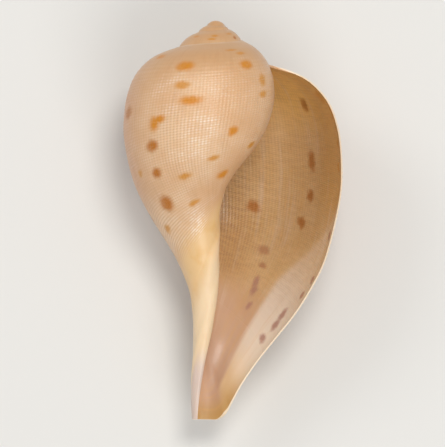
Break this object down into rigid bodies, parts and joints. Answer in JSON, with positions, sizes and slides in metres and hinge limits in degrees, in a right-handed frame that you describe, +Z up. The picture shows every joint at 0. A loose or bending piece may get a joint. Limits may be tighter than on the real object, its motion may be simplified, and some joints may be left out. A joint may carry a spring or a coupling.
{
  "type": "fig shell",
  "caption": "Thin, pear-shaped spiral sea shell with a low spire, a wide open mouth and a long open canal; lies on its back as a loose ornament.",
  "frame": {"origin": "bottom centre of the shell's box as it lies on its back, mouth up", "axes": "+Y along the shell towards the spire, +X towards the outer lip, +Z up, out of the mouth"},
  "size_m": [0.0482, 0.0864, 0.0412],
  "materials": {
    "shell_wall": "satin, fine crossed cords and growth lines, cream outside with tan blotches, tan inside with violet-brown spots"
  },
  "bodies": {
    "root": {"shell": "shell_wall"}
  },
  "joints": []
}
